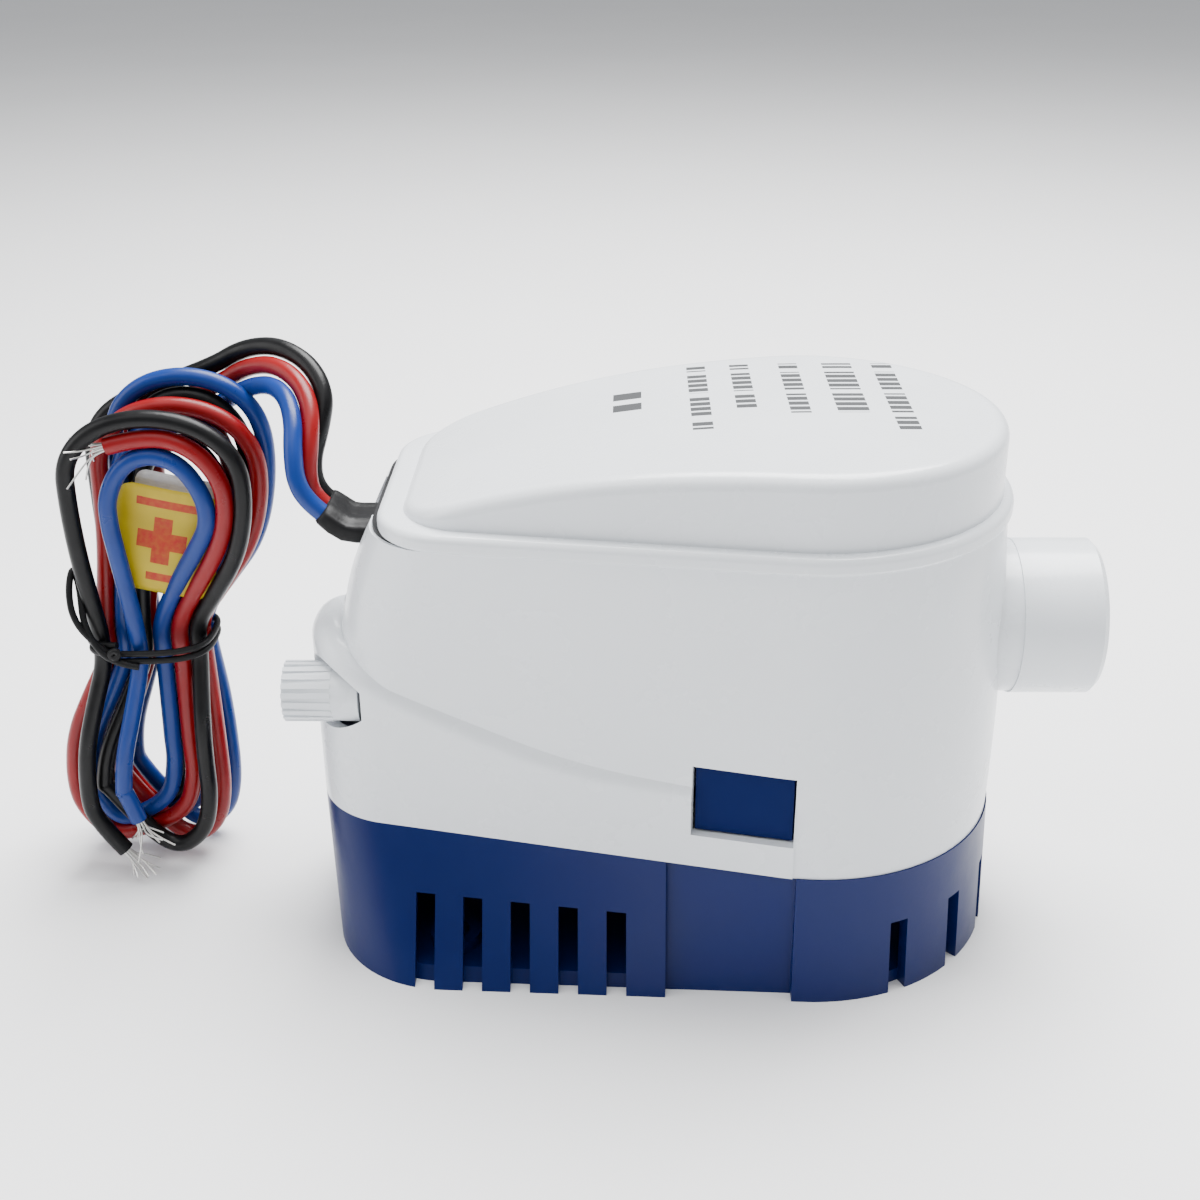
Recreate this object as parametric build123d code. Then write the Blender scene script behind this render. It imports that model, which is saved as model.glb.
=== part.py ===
"""Automatic bilge pump: blue strainer base, white housing, domed cap, 29 mm hose port, float
switch with a test knob, and three leads in a tied hank. Millimetres, +Z up; the origin is at
floor level, in the middle of the pump's length and width."""
from build123d import *
import math
import os

# ---- Driving dimensions ------------------------------------------------------------------
LENGTH = 149.4            # knob face to the end of the hose port
HALF_LENGTH = LENGTH / 2
SEAM_Z = 25.5             # blue base meets white housing
RIM_Z = 85.0              # white housing meets the cap
RIM_HEIGHT = 3.5          # height of the cap's rounded flange
TOP_Z = 101.5             # flat top of the cap
WALL = 2.3                # moulded wall of the housing and the cap
BASE_WALL = 2.5           # moulded wall and floor of the base
GAP = 0.3                 # air between neighbours that don't touch
RUNNING = 0.05            # radial clearance of a running fit
TINY = 0.02               # keeps touching round faces from sharing volume

# Plan outlines: one big circle at the port end and two equal circles at the knob end.
# Each is (big centre x, big radius, small centre x, small centre y, small radius).
FLOOR_PLAN = (22.5, 36.9, -45.0, 11.5, 22.5)
SEAM_PLAN = (23.5, 35.0, -54.0, 0.8, 16.6)
NECK_PLAN = (23.5, 34.7, -48.5, 1.5, 13.0)
SHOULDER_PLAN = (23.0, 34.8, -48.5, 5.0, 15.0)
COLLAR_PLAN = (21.5, 35.0, -43.0, 12.5, 13.5)
RIM_PLAN = (20.5, 36.8, -41.5, 14.5, 13.2)
DOME_PLAN = (21.0, 34.4, -38.0, 13.0, 12.4)
SHOULDER_Z = 66.0

# Hose port
PORT_Z = 61.0
PORT_R = 14.5
PORT_BORE_R = 12.0
PORT_LIP = 1.0
PORT_STEP = 0.3
HOSE_STOP_X = 59.5
PORT_BOSS_X = (47.0, 54.0)
RISER_X = (34.4, 46.4)    # flat upright duct between the motor and the port
RISER_HALF = 12.0
RISER_WALL = 2.5

# Side windows and their release tabs, in a frame that lies along the flat side wall
WINDOW_X = 8.9
WINDOW_WIDTH = 18.4
WINDOW_LOW = 32.0
WINDOW_HIGH = 45.8
TAB_PIVOT_Z = 23.6
TAB_PIVOT_DEPTH = 4.6     # from the wall's outer face to the tab's pivot
TAB_BARREL_R = 1.5
TAB_STUB_R = 0.9
TAB_FACE_DEPTH = 1.2
TAB_PLATE = 2.0
EAR_THICK = 2.0

# Strainer slots
SLOT_WIDTH = 3.6
SLOT_TOP = 15.0
SLOT_FIRST_X = -49.0
SLOT_PITCH = 8.9
SLOTS_PER_SIDE = 5
END_SLOT_ANGLES = (66.0, 43.3, 20.6)
BAY_X = (-4.4, 18.6)

# Pump and motor, on one upright axis
AXIS_X = 13.0
COVER_Z = 10.0
COVER_THICK = 2.5
VOLUTE_Z = COVER_Z + COVER_THICK
VOLUTE_TOP = 31.0
VOLUTE_R = 25.5
CHAMBER_R = 20.5
EYE_R = 8.5
PLATE_Z = VOLUTE_TOP
PLATE_THICK = 3.0
CAN_Z = PLATE_Z + PLATE_THICK
CAN_TOP = 79.0
CAN_R = 19.0
CAN_WALL = 1.2
SHAFT_R = 2.0
SHAFT_LOW = 14.5
SHAFT_HIGH = 80.0
BEARING_R = 5.0
IMPELLER_R = 16.5
IMPELLER_Z = 16.5
VANES = 6
CORE_R = 12.6
CORE_Z = (42.0, 60.0)
MAGNET_R = (13.6, CAN_R - CAN_WALL)
POLES = 5
COMMUTATOR_Z = (66.0, 71.0)
COMMUTATOR_R = 5.0
BRUSH_Z = 68.5
BRUSH_SIZE = (6.0, 3.6, 3.0)
SCREW_R = 1.5
SCREW_CIRCLE = 22.6

# Float switch
KNOB_Y = -10.0
KNOB_Z = 50.0
KNOB_R = 6.2
KNOB_TIP_R = 5.7
KNOB_DEPTH = 14.0
KNOB_HOLE_R = 6.9
KNOB_RIBS = 20
AXLE_R = 1.6
FLOAT_X = (-57.0, -38.0)
FLOAT_Y = (-6.0, 7.0)
FLOAT_Z = (37.0, 46.0)
BRACKET_X = (-57.5, -35.5)
BRACKET_THICK = 2.2
SHELF_Z = 58.5

# Mounting screws through the base's floor
BOLT_X = -6.0
BOLT_SPACING = (76.0, 44.0)
BOLT_R = 2.6

# Rubber boot and the pocket that it lies in
BOOT_X = (-62.5, -50.0)
BOOT_Z = 79.6
BOOT_WIDTH = 12.6
BOOT_THICK = 5.0
BOOT_TIP = 5.0            # length of the boot's upturned end
BOOT_TILT = 40.0
POCKET_X = -56.0
POCKET_HALF = 9.5
POCKET_SLOPE = 14.0

# Leads, in order from the near side: blue, red, black
LEAD_R = 1.7
LEAD_PITCH = 3.6
LEAD_NAMES = ("lead_blue", "lead_red", "lead_black")

# Hank of leads, standing on the floor beside the knob end
HANK_Y = 12.0
HANK_THICK = 26.0
WAIST_X = -105.0
WAIST_SIZE = (22.0, 15.0)
WAIST_Z = 50.5
NOTCH_HALF = 24.0
TIE_LEVELS = (48.6, 51.2)
TIE_THICK = 1.3
TAG_MIDDLE = (-98.5, 7.4, 70.0)
TAG_SIZE = (20.0, 25.0)
TAG_SHEET = 0.5
TAG_TURN = 12.0


# ---- Outlines and shells --------------------------------------------------------------------
def outline(plan, z, grow=0.0):
    """Hull of one big and two small circles at height z, grown or shrunk by grow."""
    big_x, big_r, small_x, small_y, small_r = plan
    rings = [
        Edge.make_circle(big_r + grow, Plane((big_x, 0, 0))),
        Edge.make_circle(small_r + grow, Plane((small_x, small_y, 0))),
        Edge.make_circle(small_r + grow, Plane((small_x, -small_y, 0))),
    ]
    return Pos(0, 0, z) * make_hull(rings)


def prism(plan, low, high, grow=0.0):
    """Straight-sided block of one plan outline."""
    return extrude(outline(plan, low, grow), high - low)


def between(sections, grow=0.0, ruled=False):
    """Block lofted through (plan, z) sections."""
    return loft([outline(plan, z, grow).face() for plan, z in sections], ruled=ruled)


def cylinder(radius, low, high, x=0.0, y=0.0):
    """Upright cylinder between two heights."""
    return Pos(x, y, (low + high) / 2) * Cylinder(radius, high - low)


def along_x(radius, low, high, y=0.0, z=0.0):
    """Cylinder along X between two stations."""
    return Pos((low + high) / 2, y, z) * Rot(0, 90, 0) * Cylinder(radius, high - low)


def block(x, y, z):
    """Box between pairs of coordinates."""
    size = [high - low for low, high in (x, y, z)]
    middle = [(low + high) / 2 for low, high in (x, y, z)]
    return Pos(*middle) * Box(*size)


def ring(outer, inner, low, high, x=0.0, y=0.0):
    """Upright tube between two heights."""
    return cylinder(outer, low, high, x, y) - cylinder(inner, low - 1, high + 1, x, y)


def group(shapes):
    """Identical loose pieces kept together as separate solids of one node."""
    return Compound([shape.solid() for shape in shapes])


def side_frame(side):
    """Frame on a side wall: X along the wall, Y outward, Z up; side is -1 front, +1 back."""
    big_x, big_r = SEAM_PLAN[0], SEAM_PLAN[1]
    small_y, small_r = SEAM_PLAN[3], SEAM_PLAN[4]
    slope = math.atan2(big_r - small_r - small_y, big_x - SEAM_PLAN[2])
    wall_y = small_y + small_r + (WINDOW_X - SEAM_PLAN[2]) * math.tan(slope)
    wall_y += small_r * (1 / math.cos(slope) - 1)
    direction = Vector(math.cos(slope), side * math.sin(slope), 0)
    return Plane((WINDOW_X, side * wall_y, 0), x_dir=direction, z_dir=(0, 0, 1))


def on_side(side, along, outward, height):
    """Box in a side wall's frame, given as pairs; outward is measured away from the pump."""
    flipped = [side * value for value in outward]
    return side_frame(side) * block(along, sorted(flipped), height)


# ---- Housing -----------------------------------------------------------------------------------
LEDGE_POINTS = [(-80, 68.5), (-70, 65.5), (-58, 57.5), (-41, 50.2), (-22, 44.6), (0, 43.0), (24, 42.8)]
LEDGE_ROUND = 4.0
CAP_POINTS = [(-62, 84.5), (-50, 89.6), (-39, 93.4), (-18, 98.4), (0, 100.6), (21, 101.4), (62, 101.5)]
CAP_ROUND = 2.6
UPPER_SECTIONS = [(NECK_PLAN, SEAM_Z), (SHOULDER_PLAN, SHOULDER_Z), (COLLAR_PLAN, RIM_Z)]
CORE_SECTIONS = [(NECK_PLAN, SEAM_Z - 1), (SHOULDER_PLAN, SHOULDER_Z), (COLLAR_PLAN, RIM_Z + 1)]
SKIRT_END_X = 17.9


def above_curve(points, drop=0.0):
    """Everything above a curve in the X-Z plane, right across the pump."""
    lowered = [(x, z - drop) for x, z in points]
    first_x, last_x = lowered[0][0], lowered[-1][0]
    ceiling = TOP_Z + 20
    sides = Polyline(lowered[-1], (last_x, ceiling), (first_x, ceiling), lowered[0])
    return extrude(make_face(Plane.XZ * (Spline(*lowered) + sides)), 60, both=True)


def rounded_top(shape, points, radius):
    """Cut a block under a curve and round the edge that this leaves."""
    low = min(z for _, z in points) - 1
    last_x = points[-1][0]
    shape -= above_curve(points)
    top = [face for face in shape.faces() if face.center().Z > low and face.normal_at().Z > 0.3]
    edges = [edge for face in top for edge in face.edges()]
    rim = [e for e in edges if abs(e.center().Y) > GAP and e.center().X < last_x - 0.5]
    return fillet([e for e in rim if e.center().Z < TOP_Z + 1], radius)


def skirt():
    """Lower white wall with its curved, rounded top, which ends at the windows' far edges."""
    shape = rounded_top(prism(SEAM_PLAN, SEAM_Z, 70), LEDGE_POINTS, LEDGE_ROUND)
    return shape - block((SKIRT_END_X, 80), (-50, 50), (0, 99))


def skirt_core():
    """Space inside the skirt."""
    shape = prism(SEAM_PLAN, SEAM_Z - 1, 70, -WALL) - above_curve(LEDGE_POINTS, WALL * 1.2)
    return shape - block((SKIRT_END_X - WALL * 2, 80), (-50, 50), (0, 99))


def cable_pocket(grow=0.0):
    """Step in the knob end, under the cap, where the leads come out."""
    half = POCKET_HALF + grow
    shape = block((-90, POCKET_X + grow), (-half, half), (66.5 - grow, RIM_Z + 5))
    floor = Pos(-70, 0, 65.5 - grow) * Rot(0, -POCKET_SLOPE, 0) * Box(60, 60, 12)
    return shape - Pos(0, 0, -6) * floor


def port_boss():
    """Sleeve inside the housing that the hose port's O-ring seals against."""
    return along_x(PORT_R + GAP + WALL, *PORT_BOSS_X, z=PORT_Z)


def upper_housing():
    core = between(CORE_SECTIONS, -WALL) - cable_pocket(WALL)
    shape = skirt() + between(UPPER_SECTIONS) - cable_pocket()
    shape -= skirt_core() + core
    room = between(UPPER_SECTIONS, -WALL / 2)
    shape += port_boss() & room
    half = WINDOW_WIDTH / 2
    for side in (-1, 1):
        shape -= on_side(side, (-half, half), (-WALL * 3, 3), (WINDOW_LOW, WINDOW_HIGH))
    shape -= along_x(PORT_R + GAP, PORT_BOSS_X[0] - 1, 80, z=PORT_Z)
    shape -= along_x(KNOB_HOLE_R, -90, -60, KNOB_Y, KNOB_Z)
    shape -= block((-60, -50), (-BOOT_WIDTH / 2, BOOT_WIDTH / 2),
                   (BOOT_Z - BOOT_THICK / 2, BOOT_Z + BOOT_THICK / 2))
    return shape


def top_cap():
    low = RIM_Z + GAP
    flange = prism(RIM_PLAN, low, RIM_Z + RIM_HEIGHT)
    flange = fillet(flange.faces().sort_by(Axis.Z)[0].edges(), 0.8)
    flange = fillet(flange.faces().sort_by(Axis.Z)[-1].edges(), 1.4)
    dome = rounded_top(prism(DOME_PLAN, RIM_Z + 1, TOP_Z + 4), CAP_POINTS, CAP_ROUND)
    hollow = prism(DOME_PLAN, RIM_Z - 1, TOP_Z, -WALL - 2.6) - above_curve(CAP_POINTS, WALL + 0.4)
    lip = between(CORE_SECTIONS, -WALL - GAP) - between(CORE_SECTIONS, -WALL - 1.9)
    lip -= block((-99, 99), (-99, 99), (0, RIM_Z - 3.5))
    lip -= block((-60, -48), (-POCKET_HALF - WALL - 1, POCKET_HALF + WALL + 1), (0, low))
    groove = prism(COLLAR_PLAN, RIM_Z - 1, RIM_Z + 0.9, -0.6)
    groove -= prism(COLLAR_PLAN, RIM_Z - 2, RIM_Z + 2, -1.9)
    return flange + dome - hollow + lip - groove


def cap_gasket():
    shape = prism(COLLAR_PLAN, RIM_Z, RIM_Z + 0.9, -0.6)
    return shape - prism(COLLAR_PLAN, RIM_Z - 1, RIM_Z + 2, -1.9)


# ---- Strainer base -----------------------------------------------------------------------------
def base_shell(grow=0.0, low=0.0):
    """Flared block between the floor outline and the seam outline."""
    shape = between([(FLOOR_PLAN, 0), (SEAM_PLAN, SEAM_Z)], grow, ruled=True)
    return shape - block((-99, 99), (-99, 99), (-1, low)) if low else shape


def bay_cut(side):
    """Shallow flat panel in the base under a window."""
    zone = block(BAY_X, sorted((side * 20, side * 60)), (-1, SEAM_Z))
    faces = [outline(FLOOR_PLAN, 0, -2.4).face(), outline(SEAM_PLAN, SEAM_Z, -0.9).face()]
    return zone - loft(faces, ruled=True)


def slot_tools():
    """Upright blocks where the strainer's slots are."""
    tools = []
    for side in (-1, 1):
        for index in range(SLOTS_PER_SIDE):
            x = SLOT_FIRST_X + index * SLOT_PITCH
            width = (x - SLOT_WIDTH / 2, x + SLOT_WIDTH / 2)
            tools.append(block(width, sorted((side * 14, side * 45)), (-1, SLOT_TOP)))
        for angle in END_SLOT_ANGLES:
            tool = block((25, 45), (-SLOT_WIDTH / 2, SLOT_WIDTH / 2), (-1, SLOT_TOP))
            tools.append(Pos(SEAM_PLAN[0], 0, 0) * Rot(0, 0, side * angle) * tool)
    return tools


def bolt_points():
    half_x, half_y = BOLT_SPACING[0] / 2, BOLT_SPACING[1] / 2
    return [(BOLT_X + i * half_x, j * half_y) for i in (-1, 1) for j in (-1, 1)]


def tab_ears(side):
    """Two lugs inside the base wall that carry a tab's stubs."""
    ears = []
    reach = TAB_PIVOT_DEPTH + 2.0
    for end in (-1, 1):
        near = WINDOW_WIDTH / 2 - 0.6
        along = sorted((end * near, end * (near + EAR_THICK)))
        ears.append(on_side(side, along, (-reach, -BASE_WALL + 0.5), (17, SEAM_Z)))
    return ears


def tab_axle(side, radius, half):
    """Cylinder on a tab's pivot line."""
    place = side_frame(side) * Pos(0, -side * TAB_PIVOT_DEPTH, TAB_PIVOT_Z)
    return place * Rot(0, 90, 0) * Cylinder(radius, 2 * half)


def strainer_base():
    core = base_shell(-BASE_WALL, BASE_WALL)
    shape = base_shell()
    for side in (-1, 1):
        shape -= bay_cut(side)
    wall_zone = base_shell(-BASE_WALL)
    shape -= core
    for tool in slot_tools():
        shape -= tool - wall_zone
    lip = prism(SEAM_PLAN, SEAM_Z - 4, SEAM_Z + 3, -WALL - GAP)
    lip += prism(SEAM_PLAN, SEAM_Z - 4, SEAM_Z, -1.0)
    lip -= prism(SEAM_PLAN, SEAM_Z - 5, SEAM_Z + 4, -WALL - 1.7)
    for side in (-1, 1):
        lip -= on_side(side, (-12.5, 12.5), (-12, 2), (SEAM_Z - 6, SEAM_Z + 4))
    shape += lip
    for side in (-1, 1):
        for ear in tab_ears(side):
            shape += ear
        shape -= tab_axle(side, TAB_STUB_R + RUNNING, WINDOW_WIDTH)
    for x, y in bolt_points():
        shape += cylinder(BOLT_R + 2.2, 1, 5, x, y)
        shape -= cylinder(BOLT_R, -1, 6, x, y)
    for angle in (45, 135, 225, 315):
        spoke = Pos(AXIS_X, 0, 0) * Rot(0, 0, angle) * Pos(SCREW_CIRCLE, 0, 0)
        shape += spoke * Pos(0, 0, (1 + COVER_Z) / 2) * Cylinder(3.0, COVER_Z - 1)
    return shape


def release_tab(side):
    """Latch tab: a plate on a barrel, with a thick head that fills the window."""
    face = WALL + 0.6
    plate = on_side(side, (-8.2, 8.2), (-face - TAB_PLATE, -face), (TAB_PIVOT_Z, WINDOW_HIGH - 0.6))
    head = on_side(side, (-8.7, 8.7), (-face - TAB_PLATE, -TAB_FACE_DEPTH),
                   (WINDOW_LOW + 0.5, WINDOW_HIGH - 0.6))
    barrel = tab_axle(side, TAB_BARREL_R, 8.2)
    stubs = tab_axle(side, TAB_STUB_R, WINDOW_WIDTH / 2 + EAR_THICK - 0.8)
    return plate + head + barrel + stubs


# ---- Pump --------------------------------------------------------------------------------------
def riser(low, high, start=RISER_X[0], inset=0.0):
    """Flat upright duct between the motor and the port, or the space inside it."""
    reach = (start + inset, RISER_X[1] - inset)
    return block(reach, (-RISER_HALF + inset, RISER_HALF - inset), (low, high))


def screw_points():
    spots = []
    for angle in (45, 135, 225, 315):
        turn = math.radians(angle)
        spots.append((AXIS_X + SCREW_CIRCLE * math.cos(turn), SCREW_CIRCLE * math.sin(turn)))
    return spots


def volute_casing():
    shape = cylinder(VOLUTE_R, VOLUTE_Z, VOLUTE_TOP, AXIS_X)
    shape += riser(VOLUTE_Z, VOLUTE_TOP, AXIS_X + 15)
    shape -= cylinder(CHAMBER_R, VOLUTE_Z - 1, VOLUTE_TOP - 3.5, AXIS_X)
    throat = riser(VOLUTE_Z + RISER_WALL, VOLUTE_TOP - 4, AXIS_X + 15, RISER_WALL)
    shape -= throat
    shape -= riser(VOLUTE_Z + RISER_WALL, VOLUTE_TOP + 1, inset=RISER_WALL)
    shape -= cylinder(BEARING_R + 1.0, VOLUTE_Z, VOLUTE_TOP + 1, AXIS_X)
    for x, y in screw_points():
        shape -= cylinder(SCREW_R, VOLUTE_Z - 1, VOLUTE_TOP - 6, x, y)
    return shape


def volute_cover():
    shape = cylinder(VOLUTE_R, COVER_Z, VOLUTE_Z, AXIS_X)
    shape += riser(COVER_Z, VOLUTE_Z, AXIS_X + 15)
    shape += cylinder(EYE_R + 2, COVER_Z - 3.5, COVER_Z + 1, AXIS_X)
    shape -= cylinder(EYE_R, COVER_Z - 5, VOLUTE_Z + 1, AXIS_X)
    for x, y in screw_points():
        shape -= cylinder(SCREW_R, COVER_Z - 1, VOLUTE_Z + 1, x, y)
    return shape


def volute_screws():
    screws = []
    for x, y in screw_points():
        screws.append(cylinder(SCREW_R - TINY, COVER_Z + TINY, VOLUTE_TOP - 6.5, x, y))
    return group(screws)


def discharge_nozzle():
    inner_end = RISER_X[0]
    shape = riser(VOLUTE_TOP, PORT_Z)
    shape += along_x(PORT_R - PORT_STEP, inner_end, HOSE_STOP_X, z=PORT_Z)
    tube = along_x(PORT_R, HOSE_STOP_X, HALF_LENGTH, z=PORT_Z)
    shape += chamfer(tube.faces().sort_by(Axis.X)[-1].edges(), PORT_LIP)
    shape -= along_x(PORT_BORE_R, inner_end + WALL, HALF_LENGTH + 1, z=PORT_Z)
    shape -= riser(VOLUTE_TOP - 1, PORT_Z, inset=RISER_WALL)
    shape -= along_x(PORT_R + 1, 49, 51.4, z=PORT_Z) - along_x(PORT_R - 1.3, 48, 52, z=PORT_Z)
    return shape


def nozzle_oring():
    thick = 0.78
    return Pos(50.2, 0, PORT_Z) * Rot(0, 90, 0) * Torus(PORT_R - 0.5, thick)


def shaft_seal():
    low = VOLUTE_TOP - 3.5 + TINY
    return ring(BEARING_R + 1.0 - TINY, SHAFT_R + RUNNING, low, VOLUTE_TOP - TINY, AXIS_X)


# ---- Motor -------------------------------------------------------------------------------------
def seal_plate():
    shape = cylinder(VOLUTE_R - 1, PLATE_Z, CAN_Z, AXIS_X)
    shape -= cylinder(BEARING_R, PLATE_Z - 1, CAN_Z + 1, AXIS_X)
    return shape - riser(PLATE_Z - 1, CAN_Z + 1, inset=-GAP)


def bearing(low, high):
    return ring(BEARING_R - TINY, SHAFT_R + RUNNING, low, high, AXIS_X)


def motor_can():
    shape = ring(CAN_R, CAN_R - CAN_WALL, CAN_Z, CAN_TOP - 4, AXIS_X)
    return shape + ring(CAN_R + 1.6, CAN_R - CAN_WALL, CAN_Z, CAN_Z + 1.2, AXIS_X)


def brush_cap():
    """Moulded end cap with the upper bearing seat and the two brush holders."""
    shape = cylinder(CAN_R, CAN_TOP - 4, CAN_TOP, AXIS_X)
    shape -= cylinder(CAN_R - 2, CAN_TOP - 5, CAN_TOP - 2, AXIS_X)
    shape -= cylinder(BEARING_R, CAN_TOP - 5, CAN_TOP + 1, AXIS_X)
    for side in (-1, 1):
        reach = sorted((AXIS_X + side * 7.2, AXIS_X + side * 16.4))
        arm = block(reach, (-4, 4), (BRUSH_Z - 3.2, CAN_TOP - 2))
        half_w, half_h = BRUSH_SIZE[1] / 2 + RUNNING, BRUSH_SIZE[2] / 2 + RUNNING
        bore = sorted((AXIS_X + side * 4, AXIS_X + side * 15.4))
        shape += arm
        shape -= block(bore, (-half_w, half_w), (BRUSH_Z - half_h, BRUSH_Z + half_h))
    return shape


def brushes():
    pair = []
    for side in (-1, 1):
        near = COMMUTATOR_R + RUNNING
        reach = sorted((AXIS_X + side * near, AXIS_X + side * (near + BRUSH_SIZE[0])))
        half_w, half_h = BRUSH_SIZE[1] / 2, BRUSH_SIZE[2] / 2
        pair.append(block(reach, (-half_w, half_w), (BRUSH_Z - half_h, BRUSH_Z + half_h)))
    return group(pair)


def brush_springs():
    """Coil springs behind the brushes, each a closed stack of rings."""
    pair = []
    wire, radius = 0.35, 1.05
    start = COMMUTATOR_R + RUNNING + BRUSH_SIZE[0]
    length = 15.4 - start
    turns = 4
    for side in (-1, 1):
        middle = AXIS_X + side * (start + length / 2)
        spring = Pos(middle, 0, BRUSH_Z) * Rot(0, 90, 0) * Cylinder(radius, length - 2 * TINY)
        spring -= Pos(middle, 0, BRUSH_Z) * Rot(0, 90, 0) * Cylinder(radius - wire, length)
        for turn in range(turns):
            gap_x = middle + (turn - (turns - 1) / 2) * length / turns
            slit = block((gap_x - wire / 2, gap_x + wire / 2), (-2, 0.6), (BRUSH_Z - 2, BRUSH_Z + 2))
            spring -= slit
        pair.append(spring)
    return group(pair)


def motor_magnets():
    low, high = CORE_Z[0] - 2, CORE_Z[1] + 2
    whole = ring(MAGNET_R[1] - TINY, MAGNET_R[0], low, high, AXIS_X)
    arcs = []
    for side in (-1, 1):
        zone = block((AXIS_X - 25, AXIS_X + 25), sorted((side * 4, side * 25)), (low, high))
        arcs.append(whole & zone)
    return group(arcs)


def motor_shaft():
    return cylinder(SHAFT_R, SHAFT_LOW, SHAFT_HIGH, AXIS_X)


def around_poles(shape_for):
    """Union of one shape per rotor pole, turned about the motor's axis."""
    total = None
    for pole in range(POLES):
        piece = Pos(AXIS_X, 0, 0) * Rot(0, 0, pole * 360 / POLES) * shape_for()
        total = piece if total is None else total + piece
    return total


def armature_core():
    low, high = CORE_Z
    rim = ring(CORE_R, CORE_R - 2.0, low, high)
    tooth = rim & block((0, 20), (-5.6, 5.6), (low, high))
    tooth += block((SHAFT_R + 2, CORE_R - 1), (-1.6, 1.6), (low, high))
    hub = ring(5.0, SHAFT_R + TINY, low, high, AXIS_X)
    return around_poles(lambda: tooth) + hub


def armature_windings():
    low, high = CORE_Z[0] - 2.5, CORE_Z[1] + 2.5
    coil = block((5.3, CORE_R - 2.6), (-3.2, 3.2), (low, high))
    joined = around_poles(lambda: coil) - cylinder(5.3, 0, 99, AXIS_X) - armature_core()
    return joined + ring(6.4, 5.3, low, CORE_Z[0] - TINY, AXIS_X)


def commutator():
    low, high = COMMUTATOR_Z
    shape = ring(COMMUTATOR_R, SHAFT_R + TINY, low, high, AXIS_X)
    for pole in range(POLES):
        slit = block((COMMUTATOR_R - 0.8, COMMUTATOR_R + 1), (-0.25, 0.25), (low - 1, high + 1))
        shape -= Pos(AXIS_X, 0, 0) * Rot(0, 0, (pole + 0.5) * 360 / POLES) * slit
    return shape


def impeller():
    hub = ring(4.0, SHAFT_R + TINY, IMPELLER_Z, VOLUTE_TOP - 5, AXIS_X)
    disc = ring(IMPELLER_R, SHAFT_R + TINY, VOLUTE_TOP - 7.5, VOLUTE_TOP - 6, AXIS_X)
    shape = hub + disc
    for vane in range(VANES):
        blade = block((3.5, IMPELLER_R - 0.5), (-0.8, 0.8), (IMPELLER_Z, VOLUTE_TOP - 7))
        shape += Pos(AXIS_X, 0, 0) * Rot(0, 0, vane * 360 / VANES) * blade
    return shape


def impeller_nut():
    bolt = extrude(Pos(AXIS_X, 0, IMPELLER_Z - 2.2) * RegularPolygon(3.4, 6), 2.2 - TINY)
    return bolt - cylinder(SHAFT_R + TINY, 0, 30, AXIS_X)


# ---- Float switch ------------------------------------------------------------------------------
def float_bracket():
    """Cheeks that carry the float's axle, on a low rail, and a shelf for the switch."""
    low = KNOB_Z - 7.0
    rail_y = (KNOB_Y - 2.6, KNOB_Y + 1.4)
    shape = block(BRACKET_X, rail_y, (low, low + 2.2))
    for x, top in zip(BRACKET_X, (KNOB_Z + 2.7, SHELF_Z + 1)):
        cheek = (x - BRACKET_THICK / 2, x + BRACKET_THICK / 2)
        shape += block(cheek, rail_y, (low, top))
    shelf_y = (rail_y[0], rail_y[0] + 13)
    shape += block((-46, BRACKET_X[1] + BRACKET_THICK / 2), shelf_y, (SHELF_Z, SHELF_Z + 2))
    return shape - along_x(AXLE_R + RUNNING, -70, -20, KNOB_Y, KNOB_Z)


def switch_module():
    return block((-45, -37), (KNOB_Y - 1, KNOB_Y + 9), (SHELF_Z + 2, SHELF_Z + 9))


def float_axle():
    """Axle with the arm that carries the float."""
    shape = along_x(AXLE_R, -66, BRACKET_X[1] + 3, KNOB_Y, KNOB_Z)
    arm = block((-49, -46), (KNOB_Y, FLOAT_Y[0] + 4), (KNOB_Z - 4.5, KNOB_Z - 1.0))
    hub = along_x(AXLE_R + 1.2, -50, -45, KNOB_Y, KNOB_Z)
    return shape + arm + hub


def float_block():
    shape = block(FLOAT_X, FLOAT_Y, FLOAT_Z)
    shape = fillet(shape.edges().filter_by(Axis.X), 2.0)
    shape -= block((-49, -46), (KNOB_Y - 1, FLOAT_Y[0] + 4), (KNOB_Z - 4.5, KNOB_Z - 1.0))
    return shape - cylinder(2.0 + TINY, FLOAT_Z[1] - 2.5, FLOAT_Z[1] + 1, -42, 3)


def float_magnet():
    return cylinder(2.0, FLOAT_Z[1] - 2.5, FLOAT_Z[1] - TINY, -42, 3)


def test_knob():
    """Ribbed knob on the end of the float's axle."""
    outer_x = -HALF_LENGTH
    inner_x = outer_x + KNOB_DEPTH
    body = Pos((outer_x + inner_x) / 2, KNOB_Y, KNOB_Z) * Rot(0, 90, 0) * Cone(
        KNOB_TIP_R - 0.5, KNOB_R - 0.5, KNOB_DEPTH)
    rib = block((outer_x, inner_x - 5), (-0.45, 0.45), (0, KNOB_TIP_R))
    for index in range(KNOB_RIBS):
        body += Pos(0, KNOB_Y, KNOB_Z) * Rot(index * 360 / KNOB_RIBS, 0, 0) * rib
    return body - along_x(AXLE_R, -66, -50, KNOB_Y, KNOB_Z)


# ---- Leads -------------------------------------------------------------------------------------
def boot_frame():
    """Frame of the boot's upturned end: origin in its outer face, Z along the leads."""
    tilt = math.radians(BOOT_TILT)
    run = BOOT_TIP
    x = BOOT_X[0] - run * math.cos(tilt)
    z = BOOT_Z + run * math.sin(tilt)
    return Plane((x, 0, z), x_dir=(0, 1, 0), z_dir=(-math.cos(tilt), 0, math.sin(tilt)))


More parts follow.
